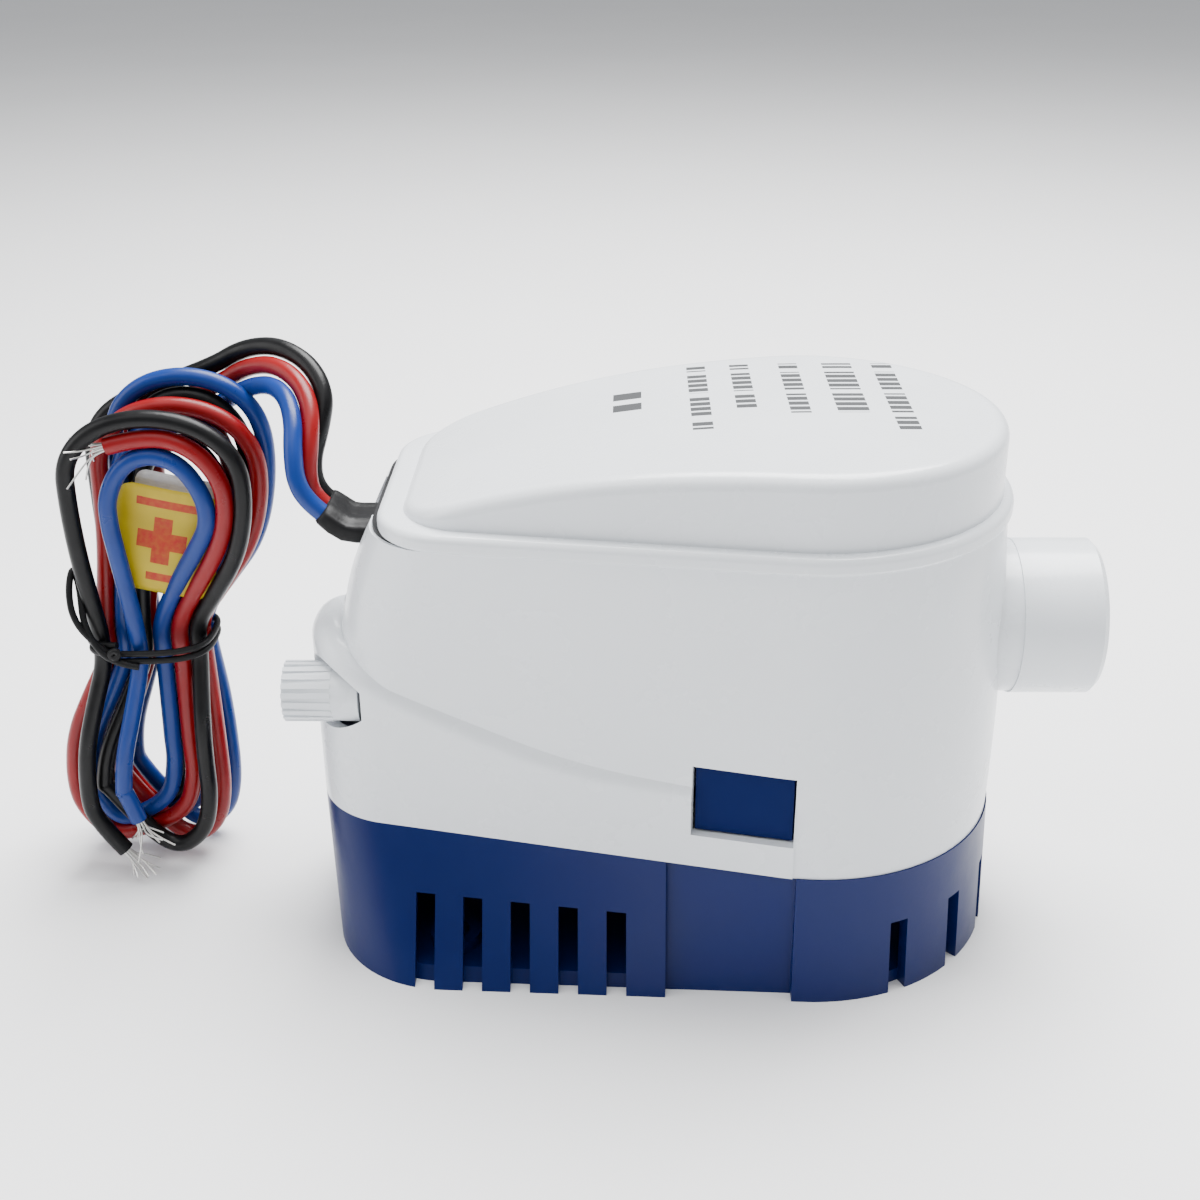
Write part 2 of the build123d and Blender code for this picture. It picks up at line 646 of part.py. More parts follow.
def cable_boot():
    half_w, half_t = BOOT_WIDTH / 2, BOOT_THICK / 2
    shape = block(BOOT_X, (-half_w, half_w), (BOOT_Z - half_t, BOOT_Z + half_t))
    elbow = Pos(BOOT_X[0], 0, BOOT_Z) * Rot(90, 0, 0) * Cylinder(half_t, BOOT_WIDTH)
    tip = boot_frame() * Pos(0, 0, -BOOT_TIP / 2) * Box(BOOT_WIDTH, BOOT_THICK, BOOT_TIP)
    return shape + elbow + tip


LEAD_ROUTES = {
    "lead_blue": [(-70.9, -3.2, 88.6), (-71.2, -1.2, 94.0), (-71.6, 2.6, 98.8), (-73.6, 8.0, 102.4),
                  (-77.6, 13.4, 104.0), (-83.2, 18.2, 101.6), (-88.6, 21.2, 97.0)],
    "lead_red": [(-69.4, 0.1, 89.0), (-68.6, 2.0, 94.6), (-69.0, 6.2, 100.4), (-71.8, 11.2, 104.8),
                 (-77.2, 16.2, 107.2), (-83.8, 20.6, 105.2), (-89.8, 22.8, 100.2)],
    "lead_black": [(-69.4, 5.1, 89.8), (-67.4, 7.0, 95.4), (-66.8, 10.2, 102.0), (-70.4, 14.8, 107.4),
                   (-77.2, 19.2, 110.2), (-84.6, 22.6, 108.4), (-91.0, 23.8, 103.6)],
}


def lead_points(name):
    """Route of one lead: out of the boot, over its arch and into the hank."""
    offset = (LEAD_NAMES.index(name) - 1) * LEAD_PITCH
    frame = boot_frame()
    start = frame.origin + frame.x_dir * offset
    return [start, start + frame.z_dir * 3.0] + [Vector(*p) for p in LEAD_ROUTES[name]]


def lead(name):
    points = lead_points(name)
    radii = []
    for before, here, after in zip(points, points[1:], points[2:]):
        turn = (here - before).get_angle(after - here)
        run = min((here - before).length, (after - here).length)
        radii.append(0.45 * run / math.tan(math.radians(turn) / 2))
    path = FilletPolyline(*points, radius=radii)
    section = Plane(path @ 0, z_dir=path % 0) * Circle(LEAD_R)
    tube = sweep(section, path)
    expected = math.pi * LEAD_R ** 2 * path.length
    print(name, "radii", [round(r, 1) for r in radii], "volume share", round(tube.volume / expected, 3))
    return tube


HANK_OUTLINE = [(-112, 0), (-126, 16), (-116, 50), (-117, 78), (-108, 98), (-94, 105),
                (-82, 99), (-79, 86), (-94, 52), (-94, 22)]


def waist_notch(side):
    """Cut that narrows the hank, seen from its end, to its tied waist."""
    outside = HANK_Y + side * (HANK_THICK / 2 + 1)
    waist = HANK_Y + side * WAIST_SIZE[1] / 2
    high = WAIST_Z + NOTCH_HALF
    low = WAIST_Z - NOTCH_HALF
    face = make_face(Plane.YZ * Polyline((outside, high), (waist, WAIST_Z + 2), (waist, WAIST_Z - 2),
                                         (outside, low), close=True))
    return Pos(WAIST_X, 0, 0) * extrude(face, 2 * WAIST_SIZE[0], both=True)


def wire_hank():
    """Outer shape of the tied loops, standing on the floor."""
    face = make_face(Plane.XZ * Spline(*HANK_OUTLINE, periodic=True))
    shape = Pos(0, HANK_Y, 0) * extrude(face, HANK_THICK / 2, both=True)
    for side in (-1, 1):
        shape -= waist_notch(side)
    return shape - block((-200, 0), (-99, 99), (-30, 0))


def tie_turn(low):
    """One flat turn of the tie round the hank's waist."""
    width, depth = WAIST_SIZE
    outer = RectangleRounded(width + TIE_THICK, depth + TIE_THICK, depth / 2)
    inner = RectangleRounded(width - TIE_THICK, depth - TIE_THICK, depth / 2 - TIE_THICK)
    return Pos(WAIST_X, HANK_Y, low) * extrude(outer - inner, TIE_THICK)


def hank_tie():
    """Thin cord wound twice round the hank's waist and knotted in front."""
    low, high = TIE_LEVELS
    front = HANK_Y - WAIST_SIZE[1] / 2
    knot = block((WAIST_X - 7, WAIST_X - 3.5), (front - 1.6, front), (low, high + TIE_THICK))
    return tie_turn(low) + tie_turn(high) + knot


def polarity_tag():
    """Folded tag: a front leaf, and a back leaf that shows a little above it."""
    width, height = TAG_SIZE
    leaf = extrude(RectangleRounded(width, height, 4.0), TAG_SHEET)
    back = Pos(1.5, 3.0, -1.6) * extrude(RectangleRounded(width - 3, height - 4, 3.0), TAG_SHEET)
    fold = Pos(-width / 2 + 4, 0, -0.55) * Box(TAG_SHEET, height - 12, 2.0)
    lying = leaf + back + fold
    x, y, z = TAG_MIDDLE
    return Pos(x, y, z) * Rot(90, 0, 0) * Rot(0, 0, -TAG_TURN) * lying


parts = {
    "upper_housing": upper_housing(),
    "top_cap": top_cap(),
    "cap_gasket": cap_gasket(),
    "strainer_base": strainer_base(),
    "front_tab": release_tab(-1),
    "back_tab": release_tab(1),
    "volute_casing": volute_casing(),
    "volute_cover": volute_cover(),
    "volute_screws": volute_screws(),
    "discharge_nozzle": discharge_nozzle(),
    "nozzle_oring": nozzle_oring(),
    "shaft_seal": shaft_seal(),
    "seal_plate": seal_plate(),
    "lower_bearing": bearing(PLATE_Z, CAN_Z),
    "upper_bearing": bearing(CAN_TOP - 4, CAN_TOP),
    "motor_can": motor_can(),
    "brush_cap": brush_cap(),
    "brushes": brushes(),
    "brush_springs": brush_springs(),
    "motor_magnets": motor_magnets(),
    "motor_shaft": motor_shaft(),
    "armature_core": armature_core(),
    "armature_windings": armature_windings(),
    "commutator": commutator(),
    "impeller": impeller(),
    "impeller_nut": impeller_nut(),
    "float_bracket": float_bracket(),
    "switch_module": switch_module(),
    "float_axle": float_axle(),
    "float_block": float_block(),
    "float_magnet": float_magnet(),
    "test_knob": test_knob(),
    "cable_boot": cable_boot(),
    "wire_hank": wire_hank(),
    "hank_tie": hank_tie(),
    "polarity_tag": polarity_tag(),
}
for lead_name in LEAD_NAMES:
    parts[lead_name] = lead(lead_name)

os.makedirs("parts", exist_ok=True)
for node, shape in parts.items():
    export_step(shape, f"parts/{node}.step")
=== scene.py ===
"""Looks of the automatic bilge pump: materials, the hank of three leads, its tie, tag and boot."""

import math
import random

import bmesh
import bpy
from mathutils import Matrix, Vector


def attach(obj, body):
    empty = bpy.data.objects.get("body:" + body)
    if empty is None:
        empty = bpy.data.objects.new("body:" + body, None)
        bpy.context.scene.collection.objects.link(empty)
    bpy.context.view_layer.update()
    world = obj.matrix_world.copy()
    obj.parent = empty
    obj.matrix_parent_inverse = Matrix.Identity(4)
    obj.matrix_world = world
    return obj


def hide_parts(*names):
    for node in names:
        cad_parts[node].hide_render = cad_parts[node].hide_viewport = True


MM = 0.001
BODY = "pump"
FULL_TURN = 2 * math.pi

# ---- Camera ------------------------------------------------------------------------------------
CAMERA_PLACE = (-11.6, -270.3, 192.4)
CAMERA_YAW = -1.05
CAMERA_PITCH = 25.42
CAMERA_ROLL = -0.39
LENS = 48.0
SENSOR = 36.0
CLIP_START = 0.01

# ---- Leads, in millimetres ---------------------------------------------------------------------
LEAD_R = 1.7
LEAD_PITCH = 3.6
LEADS = ("blue", "red", "black")
LEAD_START = 3.0
LEAD_ROUTES = {
    "blue": [(-70.9, -3.2, 88.6), (-71.4, -1.2, 94.0), (-71.6, 2.6, 98.2), (-73.6, 8.0, 101.2),
             (-77.6, 13.4, 101.8), (-83.2, 18.2, 99.6), (-88.6, 21.2, 95.6)],
    "red": [(-69.4, 0.1, 89.0), (-68.8, 2.0, 94.6), (-69.0, 6.2, 99.6), (-71.8, 11.2, 103.2),
            (-77.2, 16.2, 104.8), (-83.8, 20.6, 102.8), (-89.8, 22.8, 98.6)],
    "black": [(-69.4, 5.1, 89.8), (-67.6, 7.0, 95.4), (-66.8, 10.2, 101.0), (-70.4, 14.8, 105.6),
              (-77.2, 19.2, 107.6), (-84.6, 22.6, 105.8), (-91.0, 23.8, 101.8)],
}
# Blender's box of a curve grows by each control point's radius, so that is small and the bevel large.
CONTROL_RADIUS = 0.001
CURVE_ORDER = 3
CURVE_STEPS = 10
CURVE_ROUNDNESS = 6

# ---- Bare strands at each lead's end, in millimetres -------------------------------------------
STRANDS = 9
STRAND_R = 0.17
STRAND_SEED = 5
STRAND_INSET = 1.5
STRAND_RINGS = (0.6, 0.7)               # how far from the middle each strand starts and leaves
STRAND_STRAIGHT = 2.0
STRAND_SPREAD = (0.15, 0.75)
STRAND_REACH = (5.0, 8.5)
STRAND_CURL = ((-2, 2), (-2, 1), (-1, 2))
STRAND_MIDDLE = (0.6, 0.5)              # shares of the reach and of the spread at its middle point
FLOOR_CLEARANCE = 0.5

# ---- Hank, in millimetres ----------------------------------------------------------------------
WAIST_X = -105.0
WAIST_Y = 12.0
WAIST_Z = 50.5
WAIST_SIZE = (22.0, 15.0)
WAIST_ROWS = (17.4, 13.8, 10.2, 6.6)    # how deep each turn passes the waist, back to front
OUTER_COLUMN = 9.0
LEVEL_STEP = 3.5
TURNS = 3
# Each arc over the top: left edge, right edge, top, and how deep it lies.
TOP_ARCS = [(-115.5, -84.0, 97.5, 22.0), (-109.0, -80.0, 102.5, 15.5),
            (-111.5, -81.0, 98.0, 12.0), (-115.5, -82.5, 98.0, 4.4)]
# Each arc along the bottom: left edge, right edge, lowest line, and how deep it lies.
LOW_ARCS = [(-122.0, -94.5, 2.0, 22.2), (-123.0, -95.0, 3.0, 15.2),
            (-124.5, -96.0, 5.0, 8.2), (-119.5, -96.0, 6.0, 1.2)]
# Which place, counted from the outside, each lead has in its turn: going down left, going up right.
PLACES_DOWN = {"black": (0, 1, 2), "red": (1, 2, 0), "blue": (2, 0, 1)}
PLACES_UP = {"black": (1, 2, 0), "red": (2, 0, 1), "blue": (0, 1, 2)}
LEFT = 1                                # the way from an arc's left edge to its middle
RIGHT = -1
# From the waist to an arc's edge: share of the way out, height, and its change for each place.
UPPER_NECK = ((0.0, 54.0, 0.0), (0.35, 61.0, 1.0), (0.8, 70.5, 1.0))
LOWER_NECK_DOWN = ((0.0, 47.0, 0.0), (0.4, 39.5, -1.0), (0.85, 30.0, -1.0), (1.0, 20.0, 0.0))
LOWER_NECK_UP = ((0.8, 34.0, -1.0), (0.4, 41.0, -1.0), (0.0, 47.5, 0.0))
# A top arc from its edge to its middle: share of its width, and height over its top.
CROWN = ((0.01, -8.0), (0.2, -1.6), (0.5, 0.6))
SHOULDER_Z = 60.0                       # the side's middle point lies halfway to here, and higher
SHOULDER_LIFT = 2.0
# A bottom arc's left and right halves: share of its width, and height over its lowest line.
FOOT_LEFT = ((0.03, 8.0), (0.25, 0.9))
FOOT_RIGHT = ((0.6, -0.3), (0.9, 3.8), (1.0, 12.0))
HEEL_Z = 33.0                           # above the right half, the next point lies towards here
HEEL_SHARE = 0.6
BOTTOM_LEFT_POINTS = 6                  # how much of the last bottom arc blue and black follow

# ---- Boot, in millimetres ----------------------------------------------------------------------
BOOT_END = (-66.33, 0.0, 82.81)
BOOT_AIM = (-0.766, 0.0, 0.643)
BOOT_Z = 79.6
BOOT_LEVEL_PART = ((-50.0, 0.96), (-54.0, 0.98), (-57.5, 1.0), (-60.5, 1.0))    # x and size
BOOT_BEND_X = -62.5
BOOT_BEND_LIFT = 0.3
BOOT_BEND_TILT = 0.55
BOOT_TIP_PART = ((2.6, 1.0), (1.0, 0.96), (0.1, 0.92), (-0.4, 0.84))    # distance to end, and size
BOOT_WIDTH = 12.6
BOOT_THICK = 5.0
BOOT_AROUND = 72
BOOT_SQUARENESS = (0.55, 0.6)           # powers that flatten the section's sides and faces
BOOT_RIDGE = 0.14

# ---- Tie, in millimetres -----------------------------------------------------------------------
TIE_R = 0.65
TIE_STEPS = 22
TIE_START = -math.pi / 2 - 0.25
TIE_SQUARENESS = 0.62
TIE_TILT = 0.5
TIE_TURNS = ((-1.6, 1.6, 0.9), (0.0, 1.9, 1.0))     # height from the waist, rise, and how far out
TIE_FRONT = WAIST_Y - WAIST_SIZE[1] / 2 - 1.3
# Points of the slack loop and the knot, from the middle of the waist's front.
TIE_SLACK = ((-5.5, 0.0, -0.6), (-9.0, -0.4, 2.5), (-12.6, 0.0, 7.5), (-13.4, 2.0, 13.0),
             (-12.4, 4.0, 17.5), (-11.4, 3.0, 12.5), (-11.0, 0.5, 6.5), (-8.2, -0.9, 1.0),
             (-4.6, -0.8, -1.6), (-1.0, -0.5, -2.4))
TIE_KNOT = ((-6.4, -0.2, 1.0), (-5.6, -1.2, -0.6), (-4.2, -1.0, 0.6), (-5.2, -0.9, 1.6),
            (-6.6, -1.0, 0.2), (-4.8, -0.6, -1.4))

# ---- Tag, in millimetres -----------------------------------------------------------------------
TAG_PLACE = (-98.8, 8.2, 73.5)
TAG_TURN = 12.0
TAG_THICK = 0.25
TAG_GRID = (16, 18)
TAG_RIPPLE = (0.25, 0.4)                # depth, and turn for each millimetre of height
# Each leaf: width and height, corner radius, bow, and its place from the tag's middle.
TAG_FRONT = ((20.0, 22.0), 3.5, 0.6, (0, -1.0, -1.0))
TAG_BACK = ((16.0, 20.0), 2.5, 0.4, (0.8, 0.5, 2.4))

# ---- Prints, in millimetres --------------------------------------------------------------------
# Each printed column: place along the cap, width, length, and shift of its bars.
PRINT_COLUMNS = ((36.9, 3.8, 38.0, 0.0), (28.4, 5.6, 29.0, 1.7), (19.1, 3.6, 31.0, 0.6),
                 (9.8, 3.6, 26.0, 2.4), (1.6, 3.6, 36.0, 3.3))
PRINT_FAR_Y = 27.0
PRINT_LOWEST_Z = 95.0
BAR_PITCH = 2.7
BAR_CUT = -0.6                          # a bar shows where its sine wave is above this
WORD_PITCH = 13.0
WORD_CUT = -0.86
SQUARE_X = -11.5
SQUARE_YS = (6.6, 13.0)
SQUARE_HALF = (2.6, 1.9)
PRINT_STRENGTH = 0.93
PLUS_X = -0.8
PLUS_HALF = (4.7, 1.75)                 # half the plus's length and thickness
TAG_BAR_X = 0.4
TAG_BAR_HALF = 0.85
TAG_BARS = ((7.6, 6.6), (-7.6, 3.6))    # each bar's height and half its length

# ---- Colours -----------------------------------------------------------------------------------
WHITE = (0.75, 0.78, 0.81)
BLUE = (0.0008, 0.0085, 0.085)
INNER_WHITE = (0.78, 0.78, 0.76)
IMPELLER_RED = (0.5, 0.03, 0.02)
BLACK_PLASTIC = (0.02, 0.02, 0.021)
GRAPHITE = (0.035, 0.035, 0.038)
STEEL = (0.62, 0.63, 0.65)
BRASS = (0.72, 0.55, 0.28)
COPPER = (0.62, 0.26, 0.11)
FERRITE = (0.09, 0.09, 0.095)
TIN = (0.70, 0.69, 0.66)
PRINT_INK = (0.003, 0.003, 0.004)
PAPER_COLORS = ((0.60, 0.60, 0.62), (0.74, 0.74, 0.75))
TAG_YELLOWS = ((0.66, 0.50, 0.02), (0.78, 0.62, 0.03))
TAG_RED = (0.62, 0.03, 0.015)
FLOOR_COLORS = ((0.86, 0.86, 0.865), (0.88, 0.88, 0.885))
LEAD_COLORS = {"blue": (0.002, 0.030, 0.20), "red": (0.24, 0.002, 0.004),
               "black": (0.003, 0.003, 0.0035)}
LEAD_GLOSS = {"blue": 0.32, "red": 0.32, "black": 0.22}
BLACK_RUBBER = 0.004
SEAL_RUBBER = 0.014
NOISE_ENDS = (0.3, 0.7)                 # the part of a noise's range that spread() uses

# ---- Room, in metres and watts -----------------------------------------------------------------
FLOOR_HALF = 3.0
FLOOR_CUTS = 4
WORLD_COLOR = (0.95, 0.97, 1.0, 1.0)
WORLD_STRENGTH = 0.55
LIGHT_AIM = (0.0, 0.0, 0.05)
# Each light: name, place, width and height, and power.
LIGHTS = (("key", (-0.15, -0.35, 0.75), (0.7, 0.5), 2.5),
          ("top", (0.1, 0.25, 0.8), (0.6, 0.6), 26.0),
          ("left", (-0.7, -0.15, 0.35), (0.4, 0.6), 2.5))

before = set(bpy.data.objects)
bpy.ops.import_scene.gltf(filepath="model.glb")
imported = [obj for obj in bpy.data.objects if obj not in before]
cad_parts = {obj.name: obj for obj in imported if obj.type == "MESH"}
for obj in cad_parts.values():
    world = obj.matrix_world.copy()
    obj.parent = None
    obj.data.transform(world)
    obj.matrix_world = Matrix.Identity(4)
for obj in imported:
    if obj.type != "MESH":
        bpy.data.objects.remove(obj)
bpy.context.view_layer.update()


# ---- Small helpers -----------------------------------------------------------------------------
def mix(start, end, share):
    return start + (end - start) * share


def metres(point):
    return Vector(point) * MM


def signed_power(value, power):
    return math.copysign(abs(value) ** power, value)


def add_object(name, data):
    thing = bpy.data.objects.new(name, data)
    bpy.context.scene.collection.objects.link(thing)
    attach(thing, BODY)
    return thing


def mesh_from(name, build):
    """Smooth-shaded mesh made by build(bm)."""
    bm = bmesh.new()
    build(bm)
    bmesh.ops.recalc_face_normals(bm, faces=bm.faces)
    mesh = bpy.data.meshes.new(name)
    bm.to_mesh(mesh)
    bm.free()
    for face in mesh.polygons:
        face.use_smooth = True
    return mesh


# ---- Camera ------------------------------------------------------------------------------------
def add_camera():
    yaw, pitch, roll = (math.radians(a) for a in (CAMERA_YAW, CAMERA_PITCH, CAMERA_ROLL))
    level = math.cos(pitch)
    ahead = Vector((math.sin(yaw) * level, math.cos(yaw) * level, -math.sin(pitch)))
    level_right = Vector((math.cos(yaw), -math.sin(yaw), 0))
    level_up = level_right.cross(ahead)
    right = math.cos(roll) * level_right + math.sin(roll) * level_up
    up = -math.sin(roll) * level_right + math.cos(roll) * level_up
    data = bpy.data.cameras.new("camera")
    data.lens = LENS
    data.sensor_width = SENSOR
    data.clip_start = CLIP_START
    camera = bpy.data.objects.new("camera", data)
    bpy.context.scene.collection.objects.link(camera)
    turn = Matrix((right, up, -ahead)).transposed().to_4x4()
    camera.matrix_world = Matrix.Translation(metres(CAMERA_PLACE)) @ turn
    bpy.context.scene.camera = camera


# ---- Leads -------------------------------------------------------------------------------------
def waist_column(place, side):
    """Where a lead with this place crosses the waist, on one side of it."""
    return WAIST_X - side * (OUTER_COLUMN - LEAD_PITCH * place)


def neck(edge, level, row, place, side, rows):
    """Points between the waist and the edge of an arc."""
    column = waist_column(place, side)
    return [(mix(column, edge, out), mix(row, level, out), height + change * place)
            for out, height, change in rows]


def top_side(arc, row, place, side):
    """From the waist up one side of a top arc, to the arc's middle."""
    left, right, top, level = TOP_ARCS[arc]
    edge = (left if side == LEFT else right) + side * LEAD_PITCH * place
    width = right - left - 2 * LEAD_PITCH * place
    top -= LEAD_PITCH * place
    shoulder = (edge, level, mix(top, SHOULDER_Z, 0.5) + SHOULDER_LIFT)
    crown = [(edge + side * share * width, level, top + height) for share, height in CROWN]
    return neck(edge, level, row, place, side, UPPER_NECK) + [shoulder] + crown


def down_from_top(turn, place):
    """Left half of a top arc, without its middle, down to the waist."""
    points = top_side(turn, WAIST_ROWS[turn], place, LEFT)
    return points[-2::-1]


def up_to_top(turn, place):
    """From the waist up the right side to the middle of the next top arc."""
    return top_side(turn + 1, WAIST_ROWS[turn], place, RIGHT)


def round_bottom(turn, place_down, place_up):
    """One bottom arc, from the waist back to the waist."""
    left, right, lowest, level = LOW_ARCS[turn]
    row = WAIST_ROWS[turn]
    if place_up < place_down:
        level -= LEVEL_STEP
    left += LEAD_PITCH * place_down
    right -= LEAD_PITCH * place_up
    width = right - left
    low_left = lowest + LEAD_PITCH * place_down
    low_right = lowest + LEAD_PITCH * place_up
    foot = [(left + share * width, level, low_left + height) for share, height in FOOT_LEFT]
    foot += [(left + share * width, level, low_right + height) for share, height in FOOT_RIGHT]
    heel = (right, level, mix(foot[-1][2], HEEL_Z, HEEL_SHARE))
    going_down = neck(left, level, row, place_down, LEFT, LOWER_NECK_DOWN)
    going_up = neck(right, level, row, place_up, RIGHT, LOWER_NECK_UP)
    return going_down + foot + [heel] + going_up


def hank_turns(lead):
    points = []
    for turn in range(TURNS):
        down, up = PLACES_DOWN[lead][turn], PLACES_UP[lead][turn]
        points += down_from_top(turn, down)
        points += round_bottom(turn, down, up)
        points += up_to_top(turn, up)
    return points


def hank_end(lead):
    """Last stretch: red stops at the top left, the others go down once more to the bottom left."""
    place = PLACES_UP[lead][-1]
    points = down_from_top(TURNS, place)
    if lead == "red":
        return points[:1]
    return points + round_bottom(TURNS, place, place)[:BOTTOM_LEFT_POINTS]


def lead_points(lead):
    offset = (LEADS.index(lead) - 1) * LEAD_PITCH
    start = Vector(BOOT_END) + Vector((0, offset, 0))
    first = start + Vector(BOOT_AIM) * LEAD_START
    route = LEAD_ROUTES[lead] + hank_turns(lead) + hank_end(lead)
    return [start, first] + [Vector(p) for p in route]


def round_curve(name, routes, radius):
    """Curve object's data with one NURBS spline through each route's points."""
    data = bpy.data.curves.new(name, "CURVE")
    data.dimensions = "3D"
    data.resolution_u = CURVE_STEPS
    data.bevel_depth = radius * MM / CONTROL_RADIUS
    data.bevel_resolution = CURVE_ROUNDNESS
    data.use_fill_caps = True
    for route in routes:
        spline = data.splines.new("NURBS")
        spline.points.add(len(route) - 1)
        for control, point in zip(spline.points, route):
            control.co = (*metres(point), 1.0)
            control.radius = CONTROL_RADIUS
        spline.order_u = CURVE_ORDER
        spline.use_endpoint_u = True
    return data


def bare_strands(lead, points):
    """Tinned strands that splay out of a lead's cut end."""
    chance = random.Random(LEADS.index(lead) + STRAND_SEED)
    end = points[-1]
    ahead = (points[-1] - points[-2]).normalized()
    inner_ring, outer_ring = STRAND_RINGS
    reach_share, spread_share = STRAND_MIDDLE
    routes = []
    for strand in range(STRANDS):
        side = ahead.orthogonal().normalized()
        side.rotate(Matrix.Rotation(strand * FULL_TURN / STRANDS, 3, ahead))
        spread = chance.uniform(*STRAND_SPREAD)
        reach = chance.uniform(*STRAND_REACH)
        curl = Vector([chance.uniform(low, high) for low, high in STRAND_CURL])
        route = [end - ahead * STRAND_INSET + side * inner_ring,
                 end + ahead * STRAND_STRAIGHT + side * outer_ring,
                 end + ahead * reach * reach_share + side * reach * spread * spread_share,
                 end + ahead * reach + side * reach * spread + curl]
        routes.append([Vector((x, y, max(z, FLOOR_CLEARANCE))) for x, y, z in route])
    return round_curve("strands_" + lead, routes, STRAND_R)


def add_leads():
    for lead in LEADS:
        points = lead_points(lead)
        tube = add_object("wire_" + lead, round_curve("wire_" + lead, [points], LEAD_R))
        strands = add_object("strands_" + lead, bare_strands(lead, points))
        tube.data.materials.append(lead_material(lead))
        strands.data.materials.append(tinned_copper())
        nodes = ["lead_" + lead] + (["wire_hank"] if lead == "black" else [])
        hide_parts(*nodes)


# ---- Boot, tie and tag -------------------------------------------------------------------------
def boot_sections():
    """Middle, tilt and size of each section along the boot."""
    tilt = math.atan2(BOOT_AIM[2], -BOOT_AIM[0])
    tip = Vector(BOOT_END)
    sections = [(Vector((x, 0, BOOT_Z)), 0.0, share) for x, share in BOOT_LEVEL_PART]
    bend = Vector((BOOT_BEND_X, 0, BOOT_Z + BOOT_BEND_LIFT))
    sections.append((bend, tilt * BOOT_BEND_TILT, 1.0))
    sections += [(tip - Vector(BOOT_AIM) * back, tilt, share) for back, share in BOOT_TIP_PART]
    return sections


def build_boot(bm):
    """Flat shrunk sleeve with three soft ridges, one over each lead."""
    side_power, face_power = BOOT_SQUARENESS
    rings = []
    for middle, tilt, share in boot_sections():
        up = Vector((math.sin(tilt), 0, math.cos(tilt)))
        ring = []
        for step in range(BOOT_AROUND):
            angle = FULL_TURN * step / BOOT_AROUND
            wide = signed_power(math.cos(angle), side_power) * BOOT_WIDTH / 2 * share
            over_lead = abs(math.cos(math.pi * wide / LEAD_PITCH))
            ridge = 1 - BOOT_RIDGE + BOOT_RIDGE * over_lead
            tall = signed_power(math.sin(angle), face_power) * BOOT_THICK / 2 * share * ridge
            ring.append(bm.verts.new(metres(middle + Vector((0, wide, 0)) + up * tall)))
        rings.append(ring)
    for before, after in zip(rings, rings[1:]):
        for step in range(BOOT_AROUND):
            following = (step + 1) % BOOT_AROUND
            bm.faces.new((before[step], before[following], after[following], after[step]))
    bm.faces.new(rings[0])
    bm.faces.new(reversed(rings[-1]))


def add_boot():
    boot = add_object("boot_sleeve", mesh_from("boot_sleeve", build_boot))
    boot.data.materials.append(rubber("boot_rubber", BLACK_RUBBER, rough=0.42, grain=900))
    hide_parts("cable_boot")


def tie_ring(height, lift, grow):
    """Points of one turn of the tie round the waist, which is a rounded rectangle."""
    half_width, half_depth = (size / 2 + grow for size in WAIST_SIZE)
    points = []
    for step in range(TIE_STEPS + 1):
        share = step / TIE_STEPS
        angle = FULL_TURN * share + TIE_START
        wide = signed_power(math.cos(angle), TIE_SQUARENESS) * half_width
        deep = signed_power(math.sin(angle), TIE_SQUARENESS) * half_depth
        rise = lift * share + TIE_TILT * math.cos(angle)
        points.append((WAIST_X + wide, WAIST_Y + deep, WAIST_Z + height + rise))
    return points


def from_waist_front(points):
    return [(WAIST_X + x, TIE_FRONT + y, WAIST_Z + z) for x, y, z in points]


def add_tie():
    """Thin black cord: two turns, and a slack loop that stands off to the left."""
    first, second = (tie_ring(*turn) for turn in TIE_TURNS)
    routes = [first + second[1:], from_waist_front(TIE_SLACK), from_waist_front(TIE_KNOT)]
    tie = add_object("tie_cord", round_curve("tie_cord", routes, TIE_R))
    tie.data.materials.append(rubber("tie_cord", BLACK_RUBBER, rough=0.5, grain=2500))
    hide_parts("hank_tie")


def rounded(x, z, size, corner):
    """Pulls a point near the corner of a leaf in, so that the corner is round."""
    over_x = max(abs(x) - (size[0] / 2 - corner), 0)
    over_z = max(abs(z) - (size[1] / 2 - corner), 0)
    if over_x and over_z:
        pull = 1 - max(over_x, over_z) / math.hypot(over_x, over_z)
        x -= math.copysign(over_x * pull, x)
        z -= math.copysign(over_z * pull, z)
    return x, z


def build_leaf(bm, size, corner, bow):
    """Thin rounded leaf in the XZ plane, bowed a little towards the back at its sides."""
    across, up = TAG_GRID
    width, height = size
    ripple_depth, ripple_turn = TAG_RIPPLE
    grid = {}
    for i in range(across + 1):
        for k in range(up + 1):
            x, z = rounded(width * (i / across - 0.5), height * (k / up - 0.5), size, corner)
            depth = bow * (2 * x / width) ** 2 + ripple_depth * math.sin(ripple_turn * z)
            grid[i, k] = bm.verts.new(metres((x, depth, z)))
    faces = []
    for i in range(across):
        for k in range(up):
            corners = (grid[i, k], grid[i + 1, k], grid[i + 1, k + 1], grid[i, k + 1])
            faces.append(bm.faces.new(corners))
    bmesh.ops.solidify(bm, geom=faces, thickness=TAG_THICK * MM)


def add_leaf(name, shape, material):
    size, corner, bow, offset = shape
    leaf = add_object(name, mesh_from(name, lambda bm: build_leaf(bm, size, corner, bow)))
    turn = Matrix.Rotation(math.radians(TAG_TURN), 4, "Y")
    place = Matrix.Translation(metres(TAG_PLACE)) @ turn
    leaf.matrix_world = place @ Matrix.Translation(metres(offset))
    leaf.data.materials.append(material)
    return leaf


def add_tag():
    """Folded tag: a yellow front leaf and a white back leaf that shows above it."""
    front = add_leaf("tag_front", TAG_FRONT, tag_material())
    add_leaf("tag_back", TAG_BACK, paper())
    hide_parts("polarity_tag")


